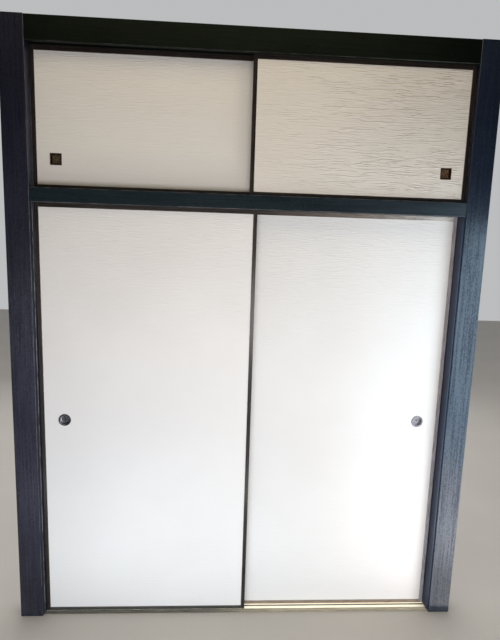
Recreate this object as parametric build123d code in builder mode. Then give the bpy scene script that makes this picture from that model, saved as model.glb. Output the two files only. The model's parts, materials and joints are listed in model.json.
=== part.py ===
from build123d import *
import os

os.makedirs("parts", exist_ok=True)

# A closet front: a dark timber frame between two posts, with a pair of tall papered sliding
# panels below a mid beam and a pair of small ones above it. Each pair runs in two parallel
# grooves, so that either panel can pass the other.
# Frame: +X right, +Z up, the front faces -Y. Origin at the middle of the base.

# ---- frame ---------------------------------------------------------------
module = 1818.0          # post centre to post centre, 6 shaku
post_w = 94.0            # post face width
post_d = 94.0            # post depth
post_chamfer = 2.0       # long edges of the posts
beam_d = 88.0            # depth of both beams, 3 mm back from the post faces
beam_chamfer = 2.0       # long front and back edges of the beams
sill_t = 10.0            # thin floor sill
sill_d = 70.0            # depth of the sill
sill_notch = 5.0         # how far the sill ends sit in the posts
low_open_h = 1763.0      # sill top to underside of mid beam
mid_t = 56.0             # mid beam height
up_open_h = 525.0        # mid beam top to underside of head beam
head_t = 90.0            # head beam height
groove_w = 21.0          # width of every groove
ridge_w = 9.0            # ridge between the two grooves
head_groove = 15.0       # depth of the grooves above a panel
foot_groove = 3.5        # depth of the grooves below a panel
tape_w, tape_t = 18.0, 0.5   # slide tape on the floor of the shallow grooves
strip_t = 9.0            # jamb strip, thickness along X
strip_d = 84.0           # jamb strip, depth along Y
tenon_d = 60.0           # tenon depth along Y
mid_tenon_h, mid_tenon_l = 30.0, 24.0
head_tenon_h, head_tenon_l = 50.0, 28.0
peg_r, peg_l = 5.0, 84.0
brad_r, brad_l = 0.8, 24.0

# ---- panels --------------------------------------------------------------
panel_t = 19.5           # thickness of the edge frame
core_t = 14.5            # thickness of the lattice core
paper_t = 0.75           # paper with its build-up, one side
stile_w = 16.0           # face width of the edge stiles
foot_rail_h = 17.0       # bottom rail
head_rail_h = 27.0       # top rail, its upper part runs in the head groove
edge_round = 1.5         # rounded front and back edges of stiles and rails
low_panel_w = 872.0      # the two tall panels overlap by 40
up_panel_w = 875.0       # the two small ones by 28
run_clear = 0.5          # panel foot above the slide tape
head_engage = 9.5        # how far a panel reaches into the head groove
core_border = 20.0       # border sticks of the lattice
core_stick = 14.0        # inner sticks of the lattice
low_corner_leg = 70.0    # corner blocks of the lattice, tall panels
up_corner_leg = 30.0     # the same, small panels
nail_r = 1.0             # hidden nails between edge frame and core
nail_out, nail_in = 10.0, 12.0
low_pull_in = 97.0       # pull centre from the panel's outer edge, tall panels
low_pull_z = 889.0
up_pull_in = 88.0        # the same, small panels
up_pull_z = 1941.0
block_h = 90.0           # block behind the pull

# ---- finger pulls --------------------------------------------------------
rim_t = 1.4              # rim in front of the paper
cup_depth = 9.0          # from the paper to the back of the cup
shell_t = 0.8            # sheet thickness
round_rim_r = 25.5
round_cup_r = 18.0       # inside of the round cup at its mouth
round_wall_r = 17.8      # inside of the round cup near its floor
round_floor_r = 14.9     # flat floor of the round cup
boss_r, boss_t = 1.8, 0.5    # small raised dot in the middle of its floor
square_rim = 45.0
square_cup = 37.0        # inside of the square cup
pin_r, pin_l = 0.8, 12.0
pin_depth = 3.7          # of a pin's axis behind the paper
pin_head_r, pin_head_t = 1.6, 0.8

# ---- derived -------------------------------------------------------------
x_in = (module - post_w) / 2                 # inner face of a post
z_sill = sill_t
z_mid0 = z_sill + low_open_h
z_mid1 = z_mid0 + mid_t
z_head0 = z_mid1 + up_open_h
z_top = z_head0 + head_t
track_y = (groove_w + ridge_w) / 2           # front track at -track_y, rear at +track_y
low_z0 = z_sill - foot_groove + tape_t + run_clear
low_h = z_mid0 + head_engage - low_z0
up_z0 = z_mid1 - foot_groove + tape_t + run_clear
up_h = z_head0 + head_engage - up_z0
mid_tenon_z = (z_mid0 + head_groove + z_mid1 - foot_groove) / 2
head_tenon_z = (z_head0 + head_groove + z_top) / 2 - 4
strip_x = x_in - strip_t                     # inner face of a jamb strip
low_x = strip_x - 1.0                        # outer edge of a closed tall panel
up_x = x_in - 1.0                            # the same, small panels
brad_z = [z_sill + low_open_h * f for f in (0.06, 0.35, 0.65, 0.94)]


def write(builder, name):
    builder.part.label = name
    export_step(builder.part, f"parts/{name}.step")


# ---- posts ---------------------------------------------------------------
for side, s in (("left", -1), ("right", 1)):
    with BuildPart() as post:
        with BuildSketch(Plane.XY):
            with Locations((s * module / 2, 0)):
                Rectangle(post_w, post_d)
        extrude(amount=z_top)
        chamfer(post.edges().filter_by(Axis.Z), length=post_chamfer)
        # mortises for the two beams
        with BuildSketch(Plane.YZ.offset(s * x_in)):
            with Locations((0, mid_tenon_z)):
                Rectangle(tenon_d, mid_tenon_h)
        extrude(amount=s * mid_tenon_l, mode=Mode.SUBTRACT)
        with BuildSketch(Plane.YZ.offset(s * x_in)):
            with Locations((0, head_tenon_z)):
                Rectangle(tenon_d, head_tenon_h)
        extrude(amount=s * head_tenon_l, mode=Mode.SUBTRACT)
        # notch for the sill's end
        with BuildSketch(Plane.YZ.offset(s * x_in)):
            with Locations((0, sill_t / 2)):
                Rectangle(sill_d, sill_t)
        extrude(amount=s * sill_notch, mode=Mode.SUBTRACT)
        # peg holes, bored from the back through the mortises
        with BuildSketch(Plane.XZ.offset(-post_d / 2)):
            with Locations((s * (x_in + mid_tenon_l / 2), mid_tenon_z),
                           (s * (x_in + head_tenon_l / 2), head_tenon_z)):
                Circle(peg_r)
        extrude(amount=peg_l, mode=Mode.SUBTRACT)
        # brad holes behind the jamb strip
        with BuildSketch(Plane.YZ.offset(s * x_in)):
            with Locations(*[(track_y, z) for z in brad_z]):
                Circle(brad_r)
        extrude(amount=s * (brad_l - strip_t), mode=Mode.SUBTRACT)
    write(post, f"{side}_post")

# ---- floor sill ----------------------------------------------------------
with BuildPart() as floor_sill:
    with BuildSketch(Plane.YZ):
        with Locations((0, sill_t / 2)):
            Rectangle(sill_d, sill_t)
        with Locations((-track_y, sill_t - foot_groove / 2), (track_y, sill_t - foot_groove / 2)):
            Rectangle(groove_w, foot_groove, mode=Mode.SUBTRACT)
    extrude(amount=x_in, both=True)
    sill_edges = floor_sill.edges().filter_by(Axis.X).filter_by_position(Axis.Z, sill_t - 0.1, sill_t + 0.1)
    chamfer(sill_edges.group_by(Axis.Y)[0] + sill_edges.group_by(Axis.Y)[-1], length=1.0)
    # plain ends that sit in the posts
    for s in (-1, 1):
        with BuildSketch(Plane.YZ.offset(s * x_in)):
            with Locations((0, sill_t / 2)):
                Rectangle(sill_d, sill_t)
        extrude(amount=s * sill_notch)
write(floor_sill, "floor_sill")

# ---- mid beam: head track of the tall panels, foot track of the small ones --
with BuildPart() as mid_beam:
    with BuildSketch(Plane.YZ):
        with Locations((0, (z_mid0 + z_mid1) / 2)):
            Rectangle(beam_d, mid_t)
        with Locations((-track_y, z_mid0 + head_groove / 2), (track_y, z_mid0 + head_groove / 2)):
            Rectangle(groove_w, head_groove, mode=Mode.SUBTRACT)
        with Locations((-track_y, z_mid1 - foot_groove / 2), (track_y, z_mid1 - foot_groove / 2)):
            Rectangle(groove_w, foot_groove, mode=Mode.SUBTRACT)
    extrude(amount=x_in, both=True)
    mid_edges = mid_beam.edges().filter_by(Axis.X)
    chamfer(mid_edges.group_by(Axis.Y)[0] + mid_edges.group_by(Axis.Y)[-1], length=beam_chamfer)
    for s in (-1, 1):
        with BuildSketch(Plane.YZ.offset(s * x_in)):
            with Locations((0, mid_tenon_z)):
                Rectangle(tenon_d, mid_tenon_h)
        extrude(amount=s * mid_tenon_l)
    with BuildSketch(Plane.XZ.offset(-post_d / 2)):
        with Locations(*[(s * (x_in + mid_tenon_l / 2), mid_tenon_z) for s in (-1, 1)]):
            Circle(peg_r)
    extrude(amount=peg_l, mode=Mode.SUBTRACT)
write(mid_beam, "mid_beam")

# ---- head beam -------------------------------------------------------------
with BuildPart() as head_beam:
    with BuildSketch(Plane.YZ):
        with Locations((0, (z_head0 + z_top) / 2)):
            Rectangle(beam_d, head_t)
        with Locations((-track_y, z_head0 + head_groove / 2), (track_y, z_head0 + head_groove / 2)):
            Rectangle(groove_w, head_groove, mode=Mode.SUBTRACT)
    extrude(amount=x_in, both=True)
    head_edges = head_beam.edges().filter_by(Axis.X)
    chamfer(head_edges.group_by(Axis.Y)[0] + head_edges.group_by(Axis.Y)[-1], length=beam_chamfer)
    for s in (-1, 1):
        with BuildSketch(Plane.YZ.offset(s * x_in)):
            with Locations((0, head_tenon_z)):
                Rectangle(tenon_d, head_tenon_h)
        extrude(amount=s * head_tenon_l)
    with BuildSketch(Plane.XZ.offset(-post_d / 2)):
        with Locations(*[(s * (x_in + head_tenon_l / 2), head_tenon_z) for s in (-1, 1)]):
            Circle(peg_r)
    extrude(amount=peg_l, mode=Mode.SUBTRACT)
write(head_beam, "head_beam")

# ---- pegs that lock the tenons, flush with the back of the posts -----------
with BuildPart() as beam_pegs:
    with BuildSketch(Plane.XZ.offset(-post_d / 2)):
        with Locations(*[(s * (x_in + mid_tenon_l / 2), mid_tenon_z) for s in (-1, 1)],
                       *[(s * (x_in + head_tenon_l / 2), head_tenon_z) for s in (-1, 1)]):
            Circle(peg_r)
    extrude(amount=peg_l)
write(beam_pegs, "beam_pegs")

# ---- jamb strips on the posts, beside the tall panels ----------------------
for side, s in (("left", -1), ("right", 1)):
    with BuildPart() as jamb_strip:
        with BuildSketch(Plane.XY.offset(z_sill)):
            with Locations((s * (x_in - strip_t / 2), 0)):
                Rectangle(strip_t, strip_d)
        extrude(amount=low_open_h)
        inner = jamb_strip.edges().filter_by(Axis.Z).group_by(Axis.X)[0 if s > 0 else -1]
        chamfer(inner, length=1.0)
        with BuildSketch(Plane.YZ.offset(s * x_in)):
            with Locations(*[(track_y, z) for z in brad_z]):
                Circle(brad_r)
        extrude(amount=-s * strip_t, mode=Mode.SUBTRACT)
    write(jamb_strip, f"{side}_jamb_strip")

with BuildPart() as jamb_brads:
    for s in (-1, 1):
        with BuildSketch(Plane.YZ.offset(s * strip_x)):
            with Locations(*[(track_y, z) for z in brad_z]):
                Circle(brad_r)
        extrude(amount=s * brad_l)
write(jamb_brads, "jamb_brads")

# ---- slide tape in the shallow grooves --------------------------------------
with BuildPart() as sill_slide_tape:
    with BuildSketch(Plane.XY.offset(z_sill - foot_groove)):
        with Locations((0, -track_y), (0, track_y)):
            Rectangle(2 * strip_x - 2, tape_w)
    extrude(amount=tape_t)
write(sill_slide_tape, "sill_slide_tape")

with BuildPart() as mid_slide_tape:
    with BuildSketch(Plane.XY.offset(z_mid1 - foot_groove)):
        with Locations((0, -track_y), (0, track_y)):
            Rectangle(2 * x_in - 2, tape_w)
    extrude(amount=tape_t)
write(mid_slide_tape, "mid_slide_tape")


# ---- panels -----------------------------------------------------------------
# name, left edge, foot, width, height, track, side of the pull, pull inset, pull height,
# shape of the pull, lattice cells across and up, leg of the corner blocks
panels = [
    ("lower_left", -low_x, low_z0, low_panel_w, low_h, -track_y, -1,
     low_pull_in, low_pull_z, "round", 4, 11, low_corner_leg),
    ("lower_right", low_x - low_panel_w, low_z0, low_panel_w, low_h, track_y, 1,
     low_pull_in, low_pull_z, "round", 4, 11, low_corner_leg),
    ("upper_left", -up_x, up_z0, up_panel_w, up_h, track_y, -1,
     up_pull_in, up_pull_z, "square", 4, 3, up_corner_leg),
    ("upper_right", up_x - up_panel_w, up_z0, up_panel_w, up_h, -track_y, 1,
     up_pull_in, up_pull_z, "square", 4, 3, up_corner_leg),
]

for name, x0, z0, w, h, yc, side, pull_in, zp, shape, nx, nz, corner_leg in panels:
    x1, z1 = x0 + w, z0 + h
    cx0, cx1 = x0 + stile_w, x1 - stile_w            # core, left and right
    cz0, cz1 = z0 + foot_rail_h, z1 - head_rail_h    # core, bottom and top
    cw, ch = cx1 - cx0, cz1 - cz0
    cxm, czm = (cx0 + cx1) / 2, (cz0 + cz1) / 2
    xp = x0 + pull_in if side < 0 else x1 - pull_in  # pull centre
    cell_w = (cw - 2 * core_border - (nx - 1) * core_stick) / nx
    cell_h = (ch - 2 * core_border - (nz - 1) * core_stick) / nz
    nail_z = [cz0 + ch * f for f in (0.06, 0.36, 0.64, 0.94)]
    nail_x = [cx0 + cw * f for f in (0.12, 0.5, 0.88)]
    outer_x, inner_x = (x0, x1 - stile_w) if side < 0 else (x1 - stile_w, x0)

    # edge stiles, full height, with blind nail holes in the face towards the core
    for part_name, sx in (("outer_stile", outer_x), ("inner_stile", inner_x)):
        core_face = sx + stile_w if sx < cxm else sx
        away = -1 if sx < cxm else 1
        with BuildPart() as stile:
            with BuildSketch(Plane.XY.offset(z0)):
                with Locations((sx + stile_w / 2, yc)):
                    Rectangle(stile_w, panel_t)
            extrude(amount=h)
            fillet(stile.edges().filter_by(Axis.Z), radius=edge_round)
            with BuildSketch(Plane.YZ.offset(core_face)):
                with Locations(*[(yc, z) for z in nail_z]):
                    Circle(nail_r)
            extrude(amount=away * nail_out, mode=Mode.SUBTRACT)
        write(stile, f"{name}_{part_name}")

    # top and bottom rails between the stiles
    for part_name, rz, rh, core_z, away in (("top_rail", cz1, head_rail_h, cz1, 1),
                                            ("bottom_rail", z0, foot_rail_h, cz0, -1)):
        with BuildPart() as rail:
            with BuildSketch(Plane.XZ.offset(-yc)):
                with Locations((cxm, rz + rh / 2)):
                    Rectangle(cw, rh)
            extrude(amount=panel_t / 2, both=True)
            fillet(rail.edges().filter_by(Axis.X), radius=edge_round)
            with BuildSketch(Plane.XY.offset(core_z)):
                with Locations(*[(x, yc) for x in nail_x]):
                    Circle(nail_r)
            extrude(amount=away * nail_out, mode=Mode.SUBTRACT)
        write(rail, f"{name}_{part_name}")

    # lattice core of half-lapped sticks, glued into one piece
    with BuildPart() as core:
        with BuildSketch(Plane.XZ.offset(-yc)):
            with Locations((cxm, czm)):
                Rectangle(cw, ch)
                with GridLocations(cell_w + core_stick, cell_h + core_stick, nx, nz):
                    Rectangle(cell_w, cell_h, mode=Mode.SUBTRACT)
        extrude(amount=core_t / 2, both=True)
        for face_x, away in ((cx0, 1), (cx1, -1)):
            with BuildSketch(Plane.YZ.offset(face_x)):
                with Locations(*[(yc, z) for z in nail_z]):
                    Circle(nail_r)
            extrude(amount=away * nail_in, mode=Mode.SUBTRACT)
        for face_z, away in ((cz0, 1), (cz1, -1)):
            with BuildSketch(Plane.XY.offset(face_z)):
                with Locations(*[(x, yc) for x in nail_x]):
                    Circle(nail_r)
            extrude(amount=away * nail_in, mode=Mode.SUBTRACT)
    write(core, f"{name}_lattice_core")

    # hidden nails between the edge frame and the core
    with BuildPart() as nails:
        for face_x, away in ((cx0, 1), (cx1, -1)):
            with BuildSketch(Plane.YZ.offset(face_x - away * nail_out)):
                with Locations(*[(yc, z) for z in nail_z]):
                    Circle(nail_r)
            extrude(amount=away * (nail_out + nail_in))
        for face_z, away in ((cz0, 1), (cz1, -1)):
            with BuildSketch(Plane.XY.offset(face_z - away * nail_out)):
                with Locations(*[(x, yc) for x in nail_x]):
                    Circle(nail_r)
            extrude(amount=away * (nail_out + nail_in))
    write(nails, f"{name}_edge_nails")

    # triangular blocks in the corner cells of the core
    with BuildPart() as corners:
        with BuildSketch(Plane.XZ.offset(-yc)):
            for px, dx in ((cx0 + core_border, 1), (cx1 - core_border, -1)):
                for pz, dz in ((cz0 + core_border, 1), (cz1 - core_border, -1)):
                    with BuildLine():
                        Polyline((px, pz), (px + dx * corner_leg, pz), (px, pz + dz * corner_leg),
                                 close=True)
                    make_face()
        extrude(amount=core_t / 2, both=True)
    write(corners, f"{name}_corner_blocks")

    # block behind the pull, across its cell, with a through hole for the cup
    cell_x0 = cx0 + core_border if side < 0 else cx1 - core_border - cell_w
    cup_r = round_cup_r + shell_t
    cup_s = square_cup + 2 * shell_t
    pin_y = yc - core_t / 2 - paper_t + pin_depth
    pin_from = round_cup_r if shape == "round" else square_cup / 2
    pin_from = pin_from - 0.3 - pin_head_t           # inner end of a pin's head
    with BuildPart() as block:
        with BuildSketch(Plane.XZ.offset(-yc)):
            with Locations((cell_x0 + cell_w / 2, zp)):
                Rectangle(cell_w, block_h)
            with Locations((xp, zp)):
                if shape == "round":
                    Circle(cup_r, mode=Mode.SUBTRACT)
                else:
                    Rectangle(cup_s, cup_s, mode=Mode.SUBTRACT)
        extrude(amount=core_t / 2, both=True)
        for away in (-1, 1):
            with BuildSketch(Plane.XY.offset(zp + away * pin_from)):
                with Locations((xp, pin_y)):
                    Circle(pin_r)
            extrude(amount=away * (pin_head_t + pin_l), mode=Mode.SUBTRACT)
    write(block, f"{name}_pull_block")

    # papers: the front one is cut out for the cup
    with BuildPart() as front_paper:
        with BuildSketch(Plane.XZ.offset(-(yc - core_t / 2))):
            with Locations((cxm, czm)):
                Rectangle(cw, ch)
            with Locations((xp, zp)):
                if shape == "round":
                    Circle(cup_r, mode=Mode.SUBTRACT)
                else:
                    Rectangle(cup_s, cup_s, mode=Mode.SUBTRACT)
        extrude(amount=paper_t)
    write(front_paper, f"{name}_front_paper")

    with BuildPart() as back_paper:
        with BuildSketch(Plane.XZ.offset(-(yc + core_t / 2 + paper_t))):
            with Locations((cxm, czm)):
                Rectangle(cw, ch)
        extrude(amount=paper_t)
    write(back_paper, f"{name}_back_paper")

    # finger pull: a pressed cup with a rim that lies on the paper
    paper_y = yc - core_t / 2 - paper_t
    with BuildPart() as pull:
        if shape == "round":
            # half section, x = radius, y = distance in front of the paper
            section = Plane(origin=(xp, paper_y, zp), x_dir=(1, 0, 0), z_dir=(0, 0, -1))
            with BuildSketch(section):
                with BuildLine():
                    Polyline((0, -cup_depth), (round_floor_r, -cup_depth))
                    Spline((round_floor_r, -cup_depth), (cup_r - 1.2, -cup_depth + 1.3),
                           (cup_r - 0.2, -cup_depth + 3.2), tangents=((1, 0), (0, 1)))
                    Polyline((cup_r - 0.2, -cup_depth + 3.2), (cup_r, 0), (round_rim_r, 0),
                             (round_rim_r, 0.35))
                    Spline((round_rim_r, 0.35), (round_rim_r - 2.2, rim_t), (round_cup_r + 1.6, 0.95),
                           (round_cup_r, -1.2), tangents=((0, 1), (0, -1)))
                    Polyline((round_cup_r, -1.2), (round_wall_r, -cup_depth + 3.2))
                    Spline((round_wall_r, -cup_depth + 3.2), (round_wall_r - 0.9, -cup_depth + 1.6),
                           (round_floor_r, -cup_depth + shell_t), tangents=((0, -1), (-1, 0)))
                    Polyline((round_floor_r, -cup_depth + shell_t), (boss_r, -cup_depth + shell_t),
                             (boss_r - 0.5, -cup_depth + shell_t + boss_t),
                             (0, -cup_depth + shell_t + boss_t), (0, -cup_depth))
                make_face()
            revolve(axis=Axis((xp, paper_y, zp), (0, 1, 0)), revolution_arc=360)
        else:
            with BuildSketch(Plane.XZ.offset(-paper_y)):
                with Locations((xp, zp)):
                    Rectangle(square_rim, square_rim)
            extrude(amount=rim_t)
            chamfer(pull.faces().sort_by(Axis.Y)[0].edges(), length=0.7)
            with BuildSketch(Plane.XZ.offset(-paper_y)):
                with Locations((xp, zp)):
                    Rectangle(cup_s, cup_s)
            extrude(amount=-cup_depth)
            with BuildSketch(Plane.XZ.offset(-(paper_y - rim_t))):
                with Locations((xp, zp)):
                    Rectangle(square_cup, square_cup)
            extrude(amount=-(rim_t + cup_depth - shell_t), mode=Mode.SUBTRACT)
            floor_edges = pull.edges().filter_by_position(
                Axis.Y, paper_y + cup_depth - shell_t - 0.1, paper_y + cup_depth - shell_t + 0.1)
            fillet(floor_edges, radius=1.2)
        for away in (-1, 1):
            with BuildSketch(Plane.XY.offset(zp + away * pin_from)):
                with Locations((xp, pin_y)):
                    Circle(pin_r)
            extrude(amount=away * (pin_head_t + pin_l), mode=Mode.SUBTRACT)
    write(pull, f"{name}_finger_pull")

    # two small headed pins through the cup's wall into the block
    with BuildPart() as pins:
        for away in (-1, 1):
            with BuildSketch(Plane.XY.offset(zp + away * pin_from)):
                with Locations((xp, pin_y)):
                    Circle(pin_head_r)
            extrude(amount=away * pin_head_t)
            with BuildSketch(Plane.XY.offset(zp + away * pin_from)):
                with Locations((xp, pin_y)):
                    Circle(pin_r)
            extrude(amount=away * (pin_head_t + pin_l))
    write(pins, f"{name}_pull_pins")

print("frame", 2 * (module / 2 + post_w / 2), post_d, z_top)
print("lower panel", low_panel_w, low_h, "foot at", low_z0)
print("upper panel", up_panel_w, up_h, "foot at", up_z0)
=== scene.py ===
import bpy
import bmesh
import json
import math
from mathutils import Matrix, Vector, noise

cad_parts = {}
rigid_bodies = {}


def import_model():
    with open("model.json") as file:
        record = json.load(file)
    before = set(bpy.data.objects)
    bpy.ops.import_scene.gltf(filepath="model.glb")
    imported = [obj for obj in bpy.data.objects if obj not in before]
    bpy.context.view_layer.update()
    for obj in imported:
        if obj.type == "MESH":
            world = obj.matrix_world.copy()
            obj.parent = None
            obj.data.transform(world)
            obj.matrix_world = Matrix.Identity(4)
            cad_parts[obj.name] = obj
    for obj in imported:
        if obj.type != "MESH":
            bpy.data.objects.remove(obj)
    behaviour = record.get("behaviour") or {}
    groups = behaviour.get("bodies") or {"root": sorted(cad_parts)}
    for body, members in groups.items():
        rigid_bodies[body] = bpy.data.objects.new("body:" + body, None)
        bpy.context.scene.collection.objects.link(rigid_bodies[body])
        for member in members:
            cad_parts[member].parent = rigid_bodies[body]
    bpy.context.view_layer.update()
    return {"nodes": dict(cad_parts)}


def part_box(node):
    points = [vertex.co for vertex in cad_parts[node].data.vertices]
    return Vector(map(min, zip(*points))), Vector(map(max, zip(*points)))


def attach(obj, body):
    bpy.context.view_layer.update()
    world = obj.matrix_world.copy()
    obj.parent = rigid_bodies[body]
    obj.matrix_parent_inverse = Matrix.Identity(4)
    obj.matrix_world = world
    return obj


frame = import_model()
nodes = frame["nodes"]
scene = bpy.context.scene

PANELS = ("lower_left", "lower_right", "upper_left", "upper_right")


# ---- material building ------------------------------------------------------
class Mat:
    def __init__(self, name):
        self.mat = bpy.data.materials.new(name)
        self.mat.use_nodes = True
        self.nt = self.mat.node_tree
        self.nt.nodes.clear()
        self.out = self.nt.nodes.new("ShaderNodeOutputMaterial")
        self.p = self.nt.nodes.new("ShaderNodeBsdfPrincipled")
        self.nt.links.new(self.p.outputs[0], self.out.inputs[0])
        self.tc = self.nt.nodes.new("ShaderNodeTexCoord")
        self.obj = self.tc.outputs["Object"]
        self.normal = self.tc.outputs["Normal"]

    def put(self, socket, value):
        if isinstance(value, bpy.types.NodeSocket):
            self.nt.links.new(value, socket)
        else:
            socket.default_value = value

    def scaled(self, sx, sy, sz, loc=(0, 0, 0), vec=None):
        n = self.nt.nodes.new("ShaderNodeMapping")
        self.put(n.inputs["Vector"], vec or self.obj)
        n.inputs["Location"].default_value = loc
        n.inputs["Scale"].default_value = (sx, sy, sz)
        return n.outputs[0]

    def noise(self, vec, scale=1.0, detail=3.0, rough=0.5, distortion=0.0):
        n = self.nt.nodes.new("ShaderNodeTexNoise")
        self.put(n.inputs["Vector"], vec)
        n.inputs["Scale"].default_value = scale
        n.inputs["Detail"].default_value = detail
        n.inputs["Roughness"].default_value = rough
        n.inputs["Distortion"].default_value = distortion
        return n.outputs[0]

    def voronoi(self, vec, scale=1.0, feature="F1"):
        n = self.nt.nodes.new("ShaderNodeTexVoronoi")
        n.feature = feature
        self.put(n.inputs["Vector"], vec)
        n.inputs["Scale"].default_value = scale
        return n.outputs["Distance"]

    def ramp(self, fac, stops, ease="LINEAR"):
        n = self.nt.nodes.new("ShaderNodeValToRGB")
        n.color_ramp.interpolation = ease
        e = n.color_ramp.elements
        while len(e) > len(stops):
            e.remove(e[-1])
        while len(e) < len(stops):
            e.new(0.5)
        for el, (pos, col) in zip(e, stops):
            el.position = pos
            if isinstance(col, (int, float)):
                col = (col, col, col)
            el.color = (*col[:3], 1.0)
        self.put(n.inputs[0], fac)
        return n.outputs[0]

    def mix(self, fac, a, b, kind="MIX"):
        n = self.nt.nodes.new("ShaderNodeMix")
        n.data_type = "RGBA"
        n.blend_type = kind
        n.clamp_factor = True
        self.put(n.inputs[0], fac)
        for s, v in ((n.inputs[6], a), (n.inputs[7], b)):
            self.put(s, v if isinstance(v, bpy.types.NodeSocket) else (*v[:3], 1.0))
        return n.outputs[2]

    def math(self, op, a, b=0.0, c=0.0, clamp=False):
        n = self.nt.nodes.new("ShaderNodeMath")
        n.operation = op
        n.use_clamp = clamp
        for s, v in zip(n.inputs, (a, b, c)):
            self.put(s, v)
        return n.outputs[0]

    def axes(self, vec):
        n = self.nt.nodes.new("ShaderNodeSeparateXYZ")
        self.put(n.inputs[0], vec)
        return n.outputs[0], n.outputs[1], n.outputs[2]

    def remap(self, v, a, b, c, d):
        n = self.nt.nodes.new("ShaderNodeMapRange")
        self.put(n.inputs["Value"], v)
        n.inputs["From Min"].default_value = a
        n.inputs["From Max"].default_value = b
        n.inputs["To Min"].default_value = c
        n.inputs["To Max"].default_value = d
        n.clamp = True
        return n.outputs[0]

    def bump(self, height, strength, distance, normal=None):
        n = self.nt.nodes.new("ShaderNodeBump")
        n.inputs["Strength"].default_value = strength
        n.inputs["Distance"].default_value = distance
        self.put(n.inputs["Height"], height)
        if normal is not None:
            self.put(n.inputs["Normal"], normal)
        return n.outputs[0]

    def finish(self, color=None, rough=None, normal=None, **fixed):
        if color is not None:
            self.put(self.p.inputs["Base Color"],
                     color if isinstance(color, bpy.types.NodeSocket) else (*color[:3], 1.0))
        if rough is not None:
            self.put(self.p.inputs["Roughness"], rough)
        if normal is not None:
            self.put(self.p.inputs["Normal"], normal)
        for k, v in fixed.items():
            self.p.inputs[k.replace("_", " ")].default_value = v
        return self.mat

    def arris(self, along, lo=0.22, hi=0.42):
        """1 on chamfered or rounded long edges of a member that runs along one axis."""
        x, y, z = self.axes(self.normal)
        a, b = {"x": (y, z), "z": (x, y)}[along]
        prod = self.math("ABSOLUTE", self.math("MULTIPLY", a, b))
        return self.remap(prod, lo, hi, 0.0, 1.0)


def painted_timber(name, along, dark, light, glint_and_wear_colour, glint_and_wear=0.5, rough=(0.27, 0.42), spec=0.72,
                   offset=(0, 0, 0), sheen=(0.80, 0.89, 1.0), streaky=0.25, window_lit_end=None,
                   scuffed=0.0):
    """Dark painted timber: brush marks and raised grain along the member, arrises paler from rubbing and from a
    painted highlight.
    """
    m = Mat(name)
    k = {"x": (3.0, 210.0, 210.0), "z": (210.0, 210.0, 3.0)}[along]
    f = {"x": (9.0, 900.0, 900.0), "z": (900.0, 900.0, 9.0)}[along]
    grain = m.noise(m.scaled(*k, loc=offset), 1.0, 5.0, 0.62, 0.25)
    fine = m.noise(m.scaled(*f, loc=offset), 1.0, 3.0, 0.6)
    cloud = m.noise(m.scaled(3.2, 3.2, 3.2, loc=offset), 1.0, 4.0, 0.55)
    tone = m.math("ADD", m.math("MULTIPLY", grain, 0.62), m.math("MULTIPLY", cloud, 0.38))
    col = m.ramp(tone, [(0.34, dark), (0.66, light)])
    if window_lit_end is not None:
        # painted light: the paint is drawn paler towards one end, where the window's light falls and reflects on it
        x, y, z = m.axes(m.obj)
        col = m.mix(m.math("MULTIPLY", m.remap(x, window_lit_end[0], window_lit_end[1], 0.0, 1.0), m.remap(tone, 0.30, 0.60, 0.25, 1.0)),
                    col, window_lit_end[2])
    # rubbed and chipped paint on the long edges, drawn paler also as a painted highlight where the chamfers catch the
    # light
    chips = m.noise(m.scaled(*{"x": (22.0, 120.0, 120.0), "z": (120.0, 120.0, 22.0)}[along],
                             loc=offset), 1.0, 4.0, 0.65)
    edge = m.math("MULTIPLY", m.arris(along), m.ramp(chips, [(0.42, 0.0), (0.60, 1.0)]))
    edge = m.math("MULTIPLY", edge, glint_and_wear, clamp=True)
    col = m.mix(edge, col, glint_and_wear_colour)
    if scuffed > 0.0:
        # scuffs and dust at the foot
        x, y, z = m.axes(m.obj)
        marks = m.noise(m.scaled(230.0, 230.0, 230.0, loc=offset), 1.0, 4.0, 0.7)
        low = m.math("MULTIPLY", m.remap(z, 0.015, 0.085, scuffed, 0.0), m.ramp(marks, [(0.50, 0.0), (0.60, 1.0)]))
        col = m.mix(low, col, (0.085, 0.105, 0.110))
    r = m.remap(m.math("ADD", m.math("MULTIPLY", fine, 0.5), m.math("MULTIPLY", cloud, 0.5)),
                0.32, 0.68, rough[0], rough[1])
    speck = m.noise(m.scaled(*{"x": (60.0, 420.0, 420.0), "z": (420.0, 420.0, 60.0)}[along],
                             loc=offset), 1.0, 4.0, 0.7)
    h = m.math("ADD", m.math("MULTIPLY", grain, 0.5),
               m.math("ADD", m.math("MULTIPLY", fine, 0.2), m.math("MULTIPLY", speck, 0.3)))
    n = m.bump(h, 0.8, 0.0012)
    # uneven gloss: long streaks and fine speckle
    streak = m.noise(m.scaled(*{"x": (4.0, 130.0, 130.0), "z": (130.0, 130.0, 4.0)}[along],
                              loc=offset), 1.0, 4.0, 0.65)
    grit = m.noise(m.scaled(*{"x": (110.0, 190.0, 190.0), "z": (190.0, 190.0, 110.0)}[along],
                            loc=offset), 1.0, 3.0, 0.7)
    gloss = m.math("ADD", m.math("MULTIPLY", streak, 0.5), m.math("MULTIPLY", grit, 0.5))
    low = tuple(v * (1.0 - streaky) for v in sheen)
    m.put(m.p.inputs["Specular Tint"], m.ramp(gloss, [(0.41, low), (0.54, sheen)]))
    return m.finish(col, r, n, Specular_IOR_Level=spec)


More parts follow.
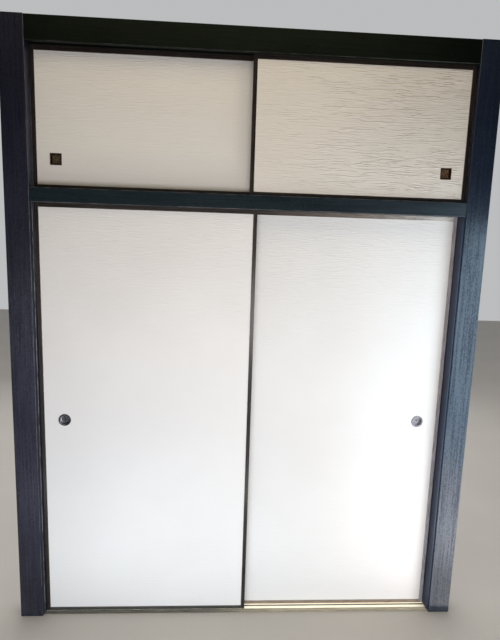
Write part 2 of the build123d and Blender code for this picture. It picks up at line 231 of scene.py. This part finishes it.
def lacquer_edge(name, along, offset=(0, 0, 0), fade_and_light=0.0, fade_and_light_from=None, fade_and_light_colour=(0.34, 0.305, 0.315)):
    """Thin lacquered edge frame of a panel: near-black brown, rubbed to brown on the roundings.
    fade_and_light makes it paler in streaks: on the lower right panel this is painted light from the window, elsewhere
    fading; fade_and_light_from lets that grow along X between two places."""
    m = Mat(name)
    k = {"x": (7.0, 420.0, 420.0), "z": (420.0, 420.0, 7.0)}[along]
    grain = m.noise(m.scaled(*k, loc=offset), 1.0, 5.0, 0.6, 0.2)
    cloud = m.noise(m.scaled(5.0, 5.0, 5.0, loc=offset), 1.0, 3.0, 0.5)
    col = m.ramp(m.math("ADD", m.math("MULTIPLY", grain, 0.6), m.math("MULTIPLY", cloud, 0.4)),
                 [(0.34, (0.010, 0.008, 0.008)), (0.68, (0.034, 0.026, 0.022))])
    if fade_and_light > 0.0:
        streaks = m.noise(m.scaled(*{"x": (26.0, 300.0, 300.0), "z": (300.0, 300.0, 26.0)}[along],
                                   loc=offset), 1.0, 4.0, 0.65)
        amount = m.remap(streaks, 0.34, 0.56, 0.45 * fade_and_light, fade_and_light)
        # painted light growing towards the window
        if fade_and_light_from is not None:
            x, y, z = m.axes(m.obj)
            grow = m.remap(x, fade_and_light_from[0], fade_and_light_from[1], 0.0, 1.0)
            amount = m.math("MULTIPLY", amount, m.ramp(grow, [(0.0, 0.06), (0.45, 0.52), (1.0, 1.0)]))
            fade_and_light_colour = m.ramp(grow, [(0.0, (0.30, 0.235, 0.20)), (0.55, (0.40, 0.345, 0.295)),
                                     (1.0, (0.62, 0.60, 0.57))])
        col = m.mix(amount, col, fade_and_light_colour)
    rub = m.noise(m.scaled(*{"x": (14.0, 200.0, 200.0), "z": (200.0, 200.0, 14.0)}[along],
                           loc=offset), 1.0, 4.0, 0.6)
    edge = m.math("MULTIPLY", m.arris(along, 0.12, 0.40),
                  m.ramp(rub, [(0.45, 0.0), (0.66, 0.75)]))
    col = m.mix(edge, col, (0.16, 0.105, 0.070))
    r = m.remap(grain, 0.3, 0.7, 0.20, 0.34)
    n = m.bump(grain, 0.4, 0.0004)
    return m.finish(col, r, n, Specular_IOR_Level=0.5)


def embossed_paper(name, offset, relief, shade_tint=(1.0, 1.0, 1.0), fade=None, edge_shade=None, crisp=None):
    """White panel paper, embossed with short wavy dashes across the panel, in loose clusters."""
    m = Mat(name)
    # slow sideways drift, so that the dashes wander up and down
    drift = m.noise(m.scaled(13.0, 13.0, 13.0, loc=offset), 1.0, 2.0, 0.5)
    x, y, z = m.axes(m.obj)
    zz = m.math("ADD", z, m.math("MULTIPLY", m.math("SUBTRACT", drift, 0.5), 0.0007))
    c = m.nt.nodes.new("ShaderNodeCombineXYZ")
    m.put(c.inputs[0], x)
    m.put(c.inputs[1], y)
    m.put(c.inputs[2], zz)
    bent = c.outputs[0]
    lines = m.noise(m.scaled(17.0, 1.0, 215.0, loc=offset, vec=bent), 1.0, 1.0, 0.5, 0.0)
    small = m.noise(m.scaled(42.0, 1.0, 390.0, loc=offset, vec=bent), 1.0, 2.0, 0.5, 0.1)
    patch = m.noise(m.scaled(8.0, 1.0, 46.0, loc=offset, vec=bent), 1.0, 3.0, 0.55)
    fibre = m.noise(m.scaled(900.0, 900.0, 900.0), 1.0, 3.0, 0.6)
    ridges = m.ramp(lines, [(0.50, 0.0), (0.56, 0.5), (0.62, 1.0)], "EASE")
    ridges = m.math("MULTIPLY", ridges, m.remap(patch, 0.42, 0.58, 0.35, 1.0))
    h = m.math("ADD", m.math("MULTIPLY", ridges, 0.76),
               m.math("ADD", m.math("MULTIPLY", small, 0.16), m.math("MULTIPLY", fibre, 0.08)))
    cloud = m.noise(m.scaled(2.2, 2.2, 2.2, loc=offset), 1.0, 3.0, 0.5)
    lo, hi = (0.795, 0.785, 0.772), (0.842, 0.835, 0.826)
    col = m.ramp(cloud, [(0.30, tuple(v * t for v, t in zip(lo, shade_tint))),
                         (0.70, tuple(v * t for v, t in zip(hi, shade_tint)))])
    # painted shade in the hollows of the emboss
    hollow_shade_amount, h_out = 0.10 * relief + 0.08 * relief * relief, h
    if fade is not None:
        worn_off = m.remap(z, fade[0], fade[1], fade[2], 1.0)
        h_out = m.math("MULTIPLY", h, worn_off)
        hollow_shade = m.math("MULTIPLY", m.remap(h, 0.10, 0.60, hollow_shade_amount, 0.0), worn_off)
    else:
        hollow_shade = m.remap(h, 0.10, 0.60, hollow_shade_amount, 0.0)
    if crisp is not None:
        # flatter towards one side of the panel
        kept = m.remap(x, crisp[0], crisp[1], crisp[2], 1.0)
        h_out = m.math("MULTIPLY", h_out, kept)
        hollow_shade = m.math("MULTIPLY", hollow_shade, kept)
    col = m.mix(hollow_shade, col, (0.56, 0.535, 0.50))
    # painted shade: grey towards the lower and the inner edge
    if edge_shade is not None:
        below = m.remap(z, edge_shade[1] + 0.010, edge_shade[1] + 0.150, 0.60, 0.0)
        beside = m.remap(x, edge_shade[0] - 0.090, edge_shade[0] - 0.005, 0.0, 0.60)
        spread = m.math("MULTIPLY", m.math("MAXIMUM", below, beside), m.remap(cloud, 0.30, 0.70, 0.75, 1.0))
        col = m.mix(spread, col, (0.60, 0.60, 0.635))
    r = m.remap(small, 0.3, 0.7, 0.52, 0.70)
    n = m.bump(h_out, relief, 0.0028)
    return m.finish(col, r, n, Specular_IOR_Level=0.35)


def backing_paper(name, offset):
    """Plain fibrous paper on the closet side, with soft vertical sheets and the lattice showing faintly."""
    m = Mat(name)
    fibre = m.noise(m.scaled(260.0, 260.0, 90.0, loc=offset), 1.0, 5.0, 0.65)
    cloud = m.noise(m.scaled(2.6, 2.6, 2.6, loc=offset), 1.0, 4.0, 0.55)
    flecks = m.ramp(m.voronoi(m.scaled(150.0, 150.0, 60.0, loc=offset), 1.0), [(0.0, 1.0), (0.16, 0.0)])
    col = m.ramp(m.math("ADD", m.math("MULTIPLY", fibre, 0.45), m.math("MULTIPLY", cloud, 0.55)),
                 [(0.34, (0.40, 0.34, 0.25)), (0.66, (0.52, 0.455, 0.35))])
    col = m.mix(m.math("MULTIPLY", flecks, 0.35), col, (0.27, 0.20, 0.13))
    n = m.bump(m.math("ADD", fibre, m.math("MULTIPLY", flecks, 0.3)), 0.4, 0.0005)
    return m.finish(col, m.remap(fibre, 0.3, 0.7, 0.72, 0.9), n, Specular_IOR_Level=0.25)


def bare_wood(name, along, pale, deep, offset=(0, 0, 0), band=None):
    """Planed wood with growth lines along the member. band paints the part in front of a given depth."""
    m = Mat(name)
    k = {"x": (1.6, 60.0, 60.0), "y": (60.0, 1.6, 60.0), "z": (60.0, 60.0, 1.6)}[along]
    f = {"x": (24.0, 900.0, 900.0), "y": (900.0, 24.0, 900.0), "z": (900.0, 900.0, 24.0)}[along]
    rings = m.noise(m.scaled(*k, loc=offset), 1.0, 5.0, 0.55, 0.6)
    pores = m.noise(m.scaled(*f, loc=offset), 1.0, 3.0, 0.6)
    col = m.ramp(rings, [(0.32, deep), (0.50, pale), (0.68, tuple(min(1.0, v * 1.06) for v in pale))])
    col = m.mix(m.ramp(pores, [(0.56, 0.0), (0.72, 0.55)]), col, deep)
    rough = m.remap(pores, 0.3, 0.7, 0.48, 0.66)
    if band is not None:
        limit, paint_lo, paint_hi = band
        x, y, z = m.axes(m.obj)
        ragged = m.math("ADD", y, m.math("MULTIPLY", m.math("SUBTRACT", m.noise(
            m.scaled(90.0, 90.0, 90.0), 1.0, 3.0, 0.6), 0.5), 0.0014))
        mask = m.remap(ragged, limit - 0.0002, limit + 0.0002, 1.0, 0.0)
        scuff = m.noise(m.scaled(11.0, 260.0, 260.0, loc=offset), 1.0, 5.0, 0.66)
        side = m.remap(x, -0.15, 0.15, 0.0, 1.0)
        paint = m.mix(side, m.ramp(scuff, [(0.34, (0.026, 0.026, 0.022)), (0.62, (0.085, 0.080, 0.066))]),
                      m.ramp(scuff, [(0.34, paint_lo), (0.62, paint_hi)]))
        col = m.mix(mask, col, paint)
        # painted shade in the corner behind the front groove
        nx, ny, nz = m.axes(m.normal)
        wall = m.math("MULTIPLY", m.remap(ny, -0.8, -0.5, 1.0, 0.0), m.remap(y, -0.0062, -0.0054, 0.0, 1.0))
        foot = m.remap(y, -0.0062, -0.0048, 0.0, 0.55)
        foot = m.math("MULTIPLY", foot, m.remap(y, -0.0040, -0.0036, 1.0, 0.0))
        brow = m.math("MULTIPLY", m.remap(y, -0.0047, -0.0045, 0.0, 1.0), m.remap(y, -0.0036, -0.0024, 0.85, 0.0))
        foot = m.math("MULTIPLY", foot, m.remap(z, 0.0070, 0.0090, 1.0, 0.0))
        col = m.mix(m.math("MAXIMUM", m.math("MAXIMUM", wall, foot), brow), col, (0.035, 0.026, 0.017))
    n = m.bump(m.math("ADD", m.math("MULTIPLY", rings, 0.5), m.math("MULTIPLY", pores, 0.5)), 0.5, 0.0004)
    return m.finish(col, rough, n, Specular_IOR_Level=0.4)


def slide_tape():
    m = Mat("slide_tape")
    scratch = m.noise(m.scaled(6.0, 1100.0, 20.0), 1.0, 4.0, 0.6)
    cloud = m.noise(m.scaled(8.0, 60.0, 8.0), 1.0, 3.0, 0.5)
    col = m.ramp(cloud, [(0.3, (0.90, 0.83, 0.63)), (0.7, (0.97, 0.93, 0.77))])
    col = m.mix(m.ramp(scratch, [(0.60, 0.0), (0.74, 0.4)]), col, (0.55, 0.45, 0.30))
    # painted shade along the rear edge of the front strip, in the corner of the groove
    x, y, z = m.axes(m.obj)
    rear = m.math("MULTIPLY", m.remap(y, -0.0088, -0.0068, 0.0, 0.9), m.remap(y, -0.0050, -0.0040, 1.0, 0.0))
    col = m.mix(rear, col, (0.06, 0.045, 0.03))
    return m.finish(col, m.remap(scratch, 0.3, 0.7, 0.28, 0.50), m.bump(scratch, 0.3, 0.0002))


def round_pull_metal(name, cx, cz, rub_and_window_light=0.0):
    """Black finish on pressed metal, with turned rings, a dark point in the middle, and pale spots from rubbing that
    are also painted glints; rub_and_window_light draws the finish paler, for rubbing and, on the pull beside the
    window, as painted window light.
    """
    m = Mat(name)
    spots = m.noise(m.scaled(420.0, 420.0, 420.0), 1.0, 4.0, 0.6)
    cloud = m.noise(m.scaled(90.0, 90.0, 90.0), 1.0, 3.0, 0.5)
    x, y, z = m.axes(m.obj)
    dx, dz = m.math("SUBTRACT", x, cx), m.math("SUBTRACT", z, cz)
    r = m.math("SQRT", m.math("ADD", m.math("MULTIPLY", dx, dx), m.math("MULTIPLY", dz, dz)))
    turned = m.math("SINE", m.math("MULTIPLY", r, 7800.0))
    # paler for rub_and_window_light: on the pull beside the window this is a painted lit copy of the finish
    k = 0.62 + 1.9 * rub_and_window_light
    col = m.ramp(cloud, [(0.32, (0.060 * k, 0.059 * k, 0.065 * k)), (0.70, (0.120 * k, 0.117 * k, 0.125 * k))])
    col = m.mix(m.ramp(spots, [(0.53 + 0.03 * rub_and_window_light, 0.0), (0.66 + 0.04 * rub_and_window_light, 0.85)]), col, (0.30, 0.285, 0.29))
    # painted highlight: the inner wall on one side of the cup is drawn pale in streaks, for the light it catches
    glint_and_wear = m.math("MULTIPLY", m.remap(r, 0.0140, 0.0156, 0.0, 1.0), m.remap(r, 0.0184, 0.0190, 1.0, 0.0))
    glint_and_wear = m.math("MULTIPLY", glint_and_wear, m.remap(dx, -0.0060, -0.0120, 0.0, 1.0))
    glint_and_wear = m.math("MULTIPLY", glint_and_wear, m.ramp(cloud, [(0.36, 0.35), (0.60, 1.0)]))
    col = m.mix(glint_and_wear, col, (0.62, 0.58, 0.63))
    # darker round the middle boss and on the outer edge of the rim
    point = m.remap(r, 0.0019, 0.0032, 0.85, 0.0)
    edge = m.remap(r, 0.0232, 0.0250, 0.0, 0.9)
    darkening = m.math("MAXIMUM", point, edge)
    col = m.mix(darkening, col, (0.010, 0.009, 0.009))
    h = m.math("ADD", m.math("MULTIPLY", spots, 0.6), m.math("MULTIPLY", turned, 0.12))
    return m.finish(col, m.remap(spots, 0.3, 0.7, 0.14, 0.34), m.bump(h, 0.6, 0.0005),
                    Metallic=0.9, Specular_IOR_Level=0.5)


def bronze(name, cx, cz, plate=False, warm=1.0):
    """Dark bronze of the square pulls; the plate in the cup is hammered."""
    m = Mat(name)
    patina = m.noise(m.scaled(300.0, 300.0, 300.0), 1.0, 4.0, 0.65)
    fine = m.noise(m.scaled(700.0, 700.0, 700.0), 1.0, 3.0, 0.6)
    col = m.ramp(patina, [(0.40, (0.012 * warm, 0.008, 0.004)), (0.52, (0.080 * warm, 0.055, 0.033)),
                          (0.62, (0.230 * warm, 0.170, 0.100))])
    h = m.math("MULTIPLY", fine, 0.4)
    if plate:
        dents = m.voronoi(m.scaled(250.0, 250.0, 250.0), 1.0, "SMOOTH_F1")
        h = m.math("ADD", h, dents)
        col = m.mix(m.ramp(dents, [(0.22, 0.80), (0.50, 0.0)]), col, (0.27 * warm, 0.200, 0.115))
    # painted shade along the foot of the cup's walls; darker also on the outer edge of the rim
    x, y, z = m.axes(m.obj)
    d = m.math("MAXIMUM", m.math("ABSOLUTE", m.math("SUBTRACT", x, cx)),
               m.math("ABSOLUTE", m.math("SUBTRACT", z, cz)))
    foot = m.math("MULTIPLY", m.remap(d, 0.0145, 0.0172, 0.0, 0.8), m.remap(d, 0.0188, 0.0196, 1.0, 0.0))
    darkening = m.math("MAXIMUM", foot, m.remap(d, 0.0212, 0.0224, 0.0, 0.85))
    col = m.mix(darkening, col, (0.008, 0.006, 0.004))
    return m.finish(col, m.remap(patina, 0.3, 0.7, 0.30, 0.55), m.bump(h, 0.6, 0.0006), Metallic=0.75)


def steel():
    m = Mat("steel")
    b = m.noise(m.scaled(1200.0, 1200.0, 300.0), 1.0, 3.0, 0.6)
    col = m.ramp(b, [(0.3, (0.32, 0.32, 0.33)), (0.7, (0.55, 0.55, 0.56))])
    return m.finish(col, m.remap(b, 0.3, 0.7, 0.25, 0.42), m.bump(b, 0.2, 0.0002), Metallic=1.0)


# ---- assign a material to every node ----------------------------------------
def give(node, mat):
    o = nodes[node]
    o.data.materials.clear()
    o.data.materials.append(mat)


# the paler edge colour stands for rubbed paint and for a painted highlight on the chamfers
DARK, LIGHT, GLINT_AND_WEAR = (0.0045, 0.0048, 0.0085), (0.0130, 0.0138, 0.0235), (0.13, 0.12, 0.125)
give("left_post", painted_timber("post_paint_left", "z", (0.0050, 0.0053, 0.0110), (0.0150, 0.0158, 0.0330), GLINT_AND_WEAR, 0.55, spec=0.85, offset=(1.3, 0.2, 0.4),
                                sheen=(0.78, 0.79, 1.0), streaky=0.45, scuffed=0.35))
# painted light: the right post's paint is drawn bluer and lighter than the left post's, for the window's blue light on
# it
give("right_post", painted_timber("post_paint_right", "z", (0.0040, 0.0070, 0.0160), (0.0100, 0.0170, 0.0400), GLINT_AND_WEAR, 0.20,
                                 spec=1.0, offset=(2.9, 1.7, 3.1), sheen=(0.75, 0.90, 1.0), streaky=0.60, scuffed=0.8))
give("head_beam", painted_timber("head_beam_paint", "x", (0.0018, 0.0028, 0.0022), (0.0056, 0.0078, 0.0060),
                                 GLINT_AND_WEAR, 0.25, spec=0.16, offset=(0.7, 2.2, 1.9), sheen=(0.80, 1.0, 0.80)))
# painted light: the mid beam is drawn paler towards its right end, beside the window
give("mid_beam", painted_timber("mid_beam_paint", "x", (0.0022, 0.0046, 0.0070), (0.0075, 0.0135, 0.0190),
                                GLINT_AND_WEAR, 0.90, spec=0.45, offset=(5.1, 0.9, 2.6), sheen=(0.66, 0.88, 1.0), streaky=0.35,
                                window_lit_end=(0.25, 0.86, (0.038, 0.052, 0.065))))
give("left_jamb_strip", painted_timber("left_strip_paint", "z", (0.0060, 0.0062, 0.0095), (0.0170, 0.0175, 0.0260),
                                       (0.30, 0.285, 0.31), 1.0, spec=0.6, offset=(4.4, 3.3, 0.1), streaky=0.4))
# painted light: the right strip's paint is drawn bluer, for the window's blue light in the reveal
give("right_jamb_strip", painted_timber("right_strip_paint", "z", (0.0055, 0.0115, 0.0260), (0.0140, 0.0270, 0.0560),
                                        (0.10, 0.11, 0.14), 0.15, spec=0.52, offset=(8.2, 1.1, 5.7),
                                        sheen=(0.60, 0.78, 1.0), streaky=0.3))
give("floor_sill", bare_wood("sill_wood", "x", (0.97, 0.91, 0.72), (0.90, 0.79, 0.56), (0.3, 0.1, 0.6),
                             band=(-0.0262, (0.12, 0.100, 0.066), (0.31, 0.28, 0.21))))
tape = slide_tape()
give("sill_slide_tape", tape)
give("mid_slide_tape", tape)
give("beam_pegs", bare_wood("peg_wood", "y", (0.42, 0.28, 0.15), (0.25, 0.15, 0.07)))
steel_mat = steel()
give("jamb_brads", steel_mat)
core_mat = bare_wood("core_wood", "z", (0.60, 0.45, 0.27), (0.42, 0.28, 0.14))
# how sharp the emboss still is on each panel
RELIEF = {"lower_left": 0.40, "lower_right": 0.40, "upper_left": 0.45, "upper_right": 1.05}
# where it gets fainter downwards: from, to, what is left
FADE = {"lower_left": (1.15, 1.72, 0.25), "lower_right": (1.15, 1.72, 0.25), "upper_left": (1.95, 2.32, 0.40)}
# where it gets flatter towards the left: from, to, what is left
CRISP = {"upper_right": (0.0, 0.60, 0.25)}
# painted shade, grey, towards the lower and the inner edge: right edge x, bottom edge z
EDGE_SHADE = {"upper_left": (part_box("upper_left_front_paper")[1].x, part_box("upper_left_front_paper")[0].z)}
# painted shade and warmth: each panel's paper is drawn darker or warmer for the light that falls on it
PANEL_SHADE_TINT = {"lower_left": (1.0, 0.995, 0.99), "lower_right": (0.955, 0.955, 0.955),
        "upper_left": (0.985, 0.96, 0.93), "upper_right": (0.95, 0.90, 0.845)}
for i, p in enumerate(PANELS):
    off = (1.7 * i + 0.3, 0.9 * i, 2.3 * i + 0.7)
    stile_mat = lacquer_edge(f"{p}_stile_lacquer", "z", off)
    rail_mat = lacquer_edge(f"{p}_rail_lacquer", "x", off)
    outer_mat, low_rail_mat = stile_mat, rail_mat
    if p == "lower_right":
        # painted light: beside the window the edges are drawn paler in streaks, as lit by the window
        outer_mat = lacquer_edge(f"{p}_stile_window_lit", "z", off, fade_and_light=0.95, fade_and_light_colour=(0.43, 0.405, 0.445))
        rail_mat = lacquer_edge(f"{p}_rail_window_lit", "x", off, fade_and_light=1.0, fade_and_light_from=(0.05, 0.80))
        low_rail_mat = lacquer_edge(f"{p}_low_rail_window_lit", "x", off, fade_and_light=0.62, fade_and_light_colour=(0.37, 0.285, 0.225))
    if p == "lower_left":
        low_rail_mat = lacquer_edge(f"{p}_low_rail_dull", "x", off, fade_and_light=0.17, fade_and_light_colour=(0.24, 0.28, 0.24))
    give(f"{p}_outer_stile", outer_mat)
    give(f"{p}_inner_stile", stile_mat)
    give(f"{p}_top_rail", rail_mat)
    give(f"{p}_bottom_rail", low_rail_mat)
    give(f"{p}_front_paper", embossed_paper(f"{p}_paper", off, RELIEF[p], PANEL_SHADE_TINT[p],
                                            FADE.get(p), EDGE_SHADE.get(p), CRISP.get(p)))
    give(f"{p}_back_paper", backing_paper(f"{p}_backing", off))
    for q in ("lattice_core", "corner_blocks", "pull_block"):
        give(f"{p}_{q}", core_mat)
    for q in ("pull_pins", "edge_nails"):
        give(f"{p}_{q}", steel_mat)
pull_mat, plate_mat, bead_mat = {}, {}, {}
for p in PANELS:
    lo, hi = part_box(f"{p}_finger_pull")
    c = (lo + hi) / 2
    if p.startswith("lower"):
        pull_mat[p] = round_pull_metal(f"{p}_pull_black", c.x, c.z, 1.0 if p == "lower_right" else 0.0)
        bead_mat[p] = round_pull_metal(f"{p}_bead_rubbing_and_light", c.x, c.z, 1.3 if p == "lower_right" else 0.9)
    else:
        warm = 1.25 if p == "upper_right" else 1.0
        pull_mat[p] = bronze(f"{p}_bronze", c.x, c.z, warm=warm)
        plate_mat[p] = bronze(f"{p}_bronze_plate", c.x, c.z, plate=True, warm=warm)
    give(f"{p}_finger_pull", pull_mat[p])


# ---- extra pieces ------------------------------------------------------------
def mesh_object(name, bm, mat, body, smooth=True):
    me = bpy.data.meshes.new(name)
    bm.to_mesh(me)
    bm.free()
    o = bpy.data.objects.new(name, me)
    scene.collection.objects.link(o)
    me.materials.append(mat)
    for f in me.polygons:
        f.use_smooth = smooth
    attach(o, body)
    return o


def ring(name, cx, cy, cz, radius, wire, mat, body):
    """A round bead that lies on a pull's rim, its axis along Y."""
    bm = bmesh.new()
    major, minor = 96, 10
    rows = []
    for i in range(major):
        a = 2 * math.pi * i / major
        row = []
        for j in range(minor):
            b = 2 * math.pi * j / minor
            r = radius + wire * math.cos(b)
            row.append(bm.verts.new((cx + r * math.cos(a), cy + wire * math.sin(b), cz + r * math.sin(a))))
        rows.append(row)
    for i in range(major):
        for j in range(minor):
            bm.faces.new((rows[i][j], rows[i][(j + 1) % minor],
                          rows[(i + 1) % major][(j + 1) % minor], rows[(i + 1) % major][j]))
    bmesh.ops.recalc_face_normals(bm, faces=bm.faces)
    return mesh_object(name, bm, mat, body)


def hammered_plate(name, cx, y_back, cz, half, mat, body, seed):
    """A thin hammered sheet on the floor of a square cup: a closed shell, dented on its front."""
    bm = bmesh.new()
    n = 44
    front, back = [], []
    for i in range(n + 1):
        fr, bk = [], []
        for j in range(n + 1):
            u, v = -half + 2 * half * i / n, -half + 2 * half * j / n
            edge = min(1.0, (half - max(abs(u), abs(v))) / 0.0020)
            d = noise.cell_vector(Vector((u / 0.0048 + seed, v / 0.0048, seed)))
            w = noise.noise(Vector((u / 0.0032 + 3 * seed, v / 0.0032, 0.3)))
            depth = 0.00045 + edge * (0.00030 * w + 0.00012 * d.x)
            fr.append(bm.verts.new((cx + u, y_back - depth, cz + v)))
            bk.append(bm.verts.new((cx + u, y_back, cz + v)) if i in (0, n) or j in (0, n) else None)
        front.append(fr)
        back.append(bk)
    for i in range(n):
        for j in range(n):
            bm.faces.new((front[i][j], front[i + 1][j], front[i + 1][j + 1], front[i][j + 1]))
    rim = ([(i, 0) for i in range(n)] + [(n, j) for j in range(n)] +
           [(i, n) for i in range(n, 0, -1)] + [(0, j) for j in range(n, 0, -1)])
    for (i, j), (k, l) in zip(rim, rim[1:] + rim[:1]):
        bm.faces.new((front[k][l], front[i][j], back[i][j], back[k][l]))
    bm.faces.new([back[i][j] for i, j in reversed(rim)])
    bmesh.ops.recalc_face_normals(bm, faces=bm.faces)
    return mesh_object(name, bm, mat, body)


for p, seed in (("upper_left", 1.7), ("upper_right", 6.3)):
    lo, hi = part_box(f"{p}_finger_pull")
    c = (lo + hi) / 2
    hammered_plate(f"{p}_hammered_plate", c.x, hi.y - 0.0008, c.z, 0.0172, plate_mat[p],
                   f"{p}_panel", seed)
for p in ("lower_left", "lower_right"):
    lo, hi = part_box(f"{p}_finger_pull")
    c = (lo + hi) / 2
    ring(f"{p}_pull_bead", c.x, lo.y + 0.00065, c.z, 0.0240, 0.0006, bead_mat[p], f"{p}_panel")


# ---- floor, light, camera -------------------------------------------------------
def floor_material():
    m = Mat("studio_floor")
    cloud = m.noise(m.scaled(1.5, 1.5, 1.5), 1.0, 4.0, 0.5)
    col = m.ramp(cloud, [(0.3, (0.62, 0.585, 0.54)), (0.7, (0.66, 0.625, 0.58))])
    return m.finish(col, 0.6, Specular_IOR_Level=0.3)


bm = bmesh.new()
for x, y in ((-9, -9), (9, -9), (9, 9), (-9, 9)):
    bm.verts.new((x, y, -0.0006))
bm.faces.new(bm.verts)
me = bpy.data.meshes.new("studio_floor")
bm.to_mesh(me)
bm.free()
floor = bpy.data.objects.new("studio_floor", me)
scene.collection.objects.link(floor)
me.materials.append(floor_material())

world = bpy.data.worlds.new("soft_room")
world.use_nodes = True
wt = world.node_tree
wc = wt.nodes.new("ShaderNodeTexCoord")
ws = wt.nodes.new("ShaderNodeSeparateXYZ")
wt.links.new(wc.outputs["Generated"], ws.inputs[0])


def world_range(value, a, b):
    n = wt.nodes.new("ShaderNodeMapRange")
    n.interpolation_type = "SMOOTHSTEP"
    wt.links.new(value, n.inputs["Value"])
    n.inputs["From Min"].default_value = a
    n.inputs["From Max"].default_value = b
    return n.outputs[0]


def world_mix(fac, a, b):
    n = wt.nodes.new("ShaderNodeMix")
    n.data_type = "RGBA"
    wt.links.new(fac, n.inputs[0])
    for sock, v in ((n.inputs[6], a), (n.inputs[7], b)):
        if isinstance(v, bpy.types.NodeSocket):
            wt.links.new(v, sock)
        else:
            sock.default_value = (*v, 1.0)
    return n.outputs[2]


# pale behind the object; in front of it, pale at eye height and dim and warm overhead
room = world_mix(world_range(ws.outputs[2], 0.0, 0.36), (0.045, 0.046, 0.048), (0.016, 0.014, 0.012))
sky = world_mix(world_range(ws.outputs[1], -0.15, 0.15), room, (0.50, 0.505, 0.51))
wt.links.new(sky, wt.nodes["Background"].inputs[0])
wt.nodes["Background"].inputs[1].default_value = 1.0
scene.world = world


def area(name, where, towards, size, power, color):
    data = bpy.data.lights.new(name, "AREA")
    data.shape = "RECTANGLE"
    data.size, data.size_y = size
    data.energy = power
    data.color = color
    o = bpy.data.objects.new(name, data)
    scene.collection.objects.link(o)
    o.location = where
    o.rotation_mode = "QUATERNION"
    o.rotation_quaternion = (Vector(towards) - Vector(where)).to_track_quat("-Z", "Y")
    o.visible_camera = False
    return o


# tall soft lights beside the right post, as from a large window: cooler above, whiter below
area("window_high", (1.12, -0.50, 1.165), (0.0, -0.50, 1.165), (0.60, 1.17), 7.8, (0.78, 0.90, 1.0))
area("window_low", (1.12, -0.50, 0.30), (0.0, -0.50, 0.30), (0.60, 0.56), 3.75, (1.0, 0.935, 0.97))
area("window_far", (1.30, -1.75, 0.95), (0.0, -1.10, 0.95), (1.5, 1.7), 0.75, (0.60, 0.90, 1.0))
# the bright strip of floor at the foot of the window
area("track_glow", (1.19, -0.62, 0.012), (1.19, -0.62, 1.0), (0.62, 1.1), 4.1, (1.0, 0.845, 0.765))
# light that a bright floor throws up from in front, near and farther away
area("floor_near", (-0.38, -0.52, 0.03), (-0.38, -0.34, 0.80), (1.45, 0.55), 0.3, (0.9, 0.9, 1.0))
area("floor_glow", (0.12, -1.85, 0.22), (0.05, -0.65, 1.30), (1.7, 1.3), 0.3, (1.0, 1.0, 1.0))
# light down onto the sill and the feet of the doors
area("low_room", (-0.05, -0.62, 0.29), (-0.05, 0.0, 0.0), (2.0, 0.26), 3.3, (0.92, 0.985, 1.0))
area("sill_room", (0.05, -0.75, 0.60), (0.05, 0.0, 0.0), (1.9, 0.3), 10.0, (1.0, 0.97, 0.90))
# weak light from the left part of the room, low down
area("left_fill", (-0.52, -1.0, 0.52), (-0.62, 0.0, 0.26), (1.0, 0.8), 3.2, (0.60, 0.76, 1.0))
# warm light from the ceiling, weak light from the room behind the camera
area("mid_fill", (-0.05, -1.40, 1.12), (-0.05, 0.0, 1.55), (1.9, 0.5), 13.1, (1.0, 0.945, 0.915))
area("ceiling_glow", (-0.10, -0.72, 3.10), (-0.10, -0.12, 2.30), (2.0, 0.7), 7.2, (1.0, 0.86, 0.56))
area("room_fill", (-0.10, -3.60, 1.15), (-0.10, 0.0, 1.15), (3.0, 1.8), 6.0, (1.0, 1.0, 1.0))
# an even light for the floor
area("floor_soft", (0.0, -0.6, 5.0), (0.0, -0.55, 0.0), (6.0, 6.0), 115.0, (1.0, 0.985, 0.96))
# the near lights shape the object only, so that they leave no patches on the floor
only_object = bpy.data.collections.new("lit_by_near_lights")
for o in scene.objects:
    if o.type == "MESH" and o != floor:
        only_object.objects.link(o)
only_floor = bpy.data.collections.new("lit_by_floor_light")
only_floor.objects.link(floor)
only_sill = bpy.data.collections.new("lit_by_sill_light")
for n in ("floor_sill", "sill_slide_tape"):
    only_sill.objects.link(bpy.data.objects[n])
for o in scene.objects:
    if o.name == "floor_soft":
        o.light_linking.receiver_collection = only_floor
    elif o.name == "sill_room":
        o.light_linking.receiver_collection = only_sill
    elif o.type == "LIGHT" and o.name not in ("room_fill", "ceiling_glow"):
        o.light_linking.receiver_collection = only_object
# a soft light for the closet side
area("rear_fill", (0.0, 3.4, 2.0), (0.0, 0.0, 1.3), (3.2, 2.0), 45.0, (1.0, 0.99, 0.97))

cam_data = bpy.data.cameras.new("camera")
cam = bpy.data.objects.new("camera", cam_data)
scene.collection.objects.link(cam)
pitch, yaw, roll = math.radians(9.034), math.radians(3.436), math.radians(1.864)
forward = Vector((math.sin(yaw) * math.cos(pitch), math.cos(yaw) * math.cos(pitch), -math.sin(pitch)))
right = Vector((math.cos(yaw), -math.sin(yaw), 0.0))
up = right.cross(forward)
r2 = math.cos(roll) * right + math.sin(roll) * up
u2 = -math.sin(roll) * right + math.cos(roll) * up
cam.matrix_world = Matrix(((r2.x, u2.x, -forward.x, -0.1221), (r2.y, u2.y, -forward.y, -2.1218),
                           (r2.z, u2.z, -forward.z, 1.6626), (0, 0, 0, 1)))
cam_data.sensor_fit = "AUTO"
cam_data.sensor_width = 36.0
cam_data.lens = 517.0 * 36.0 / 640.0
cam_data.clip_start, cam_data.clip_end = 0.05, 60.0
scene.camera = cam
scene.view_settings.view_transform = "Standard"
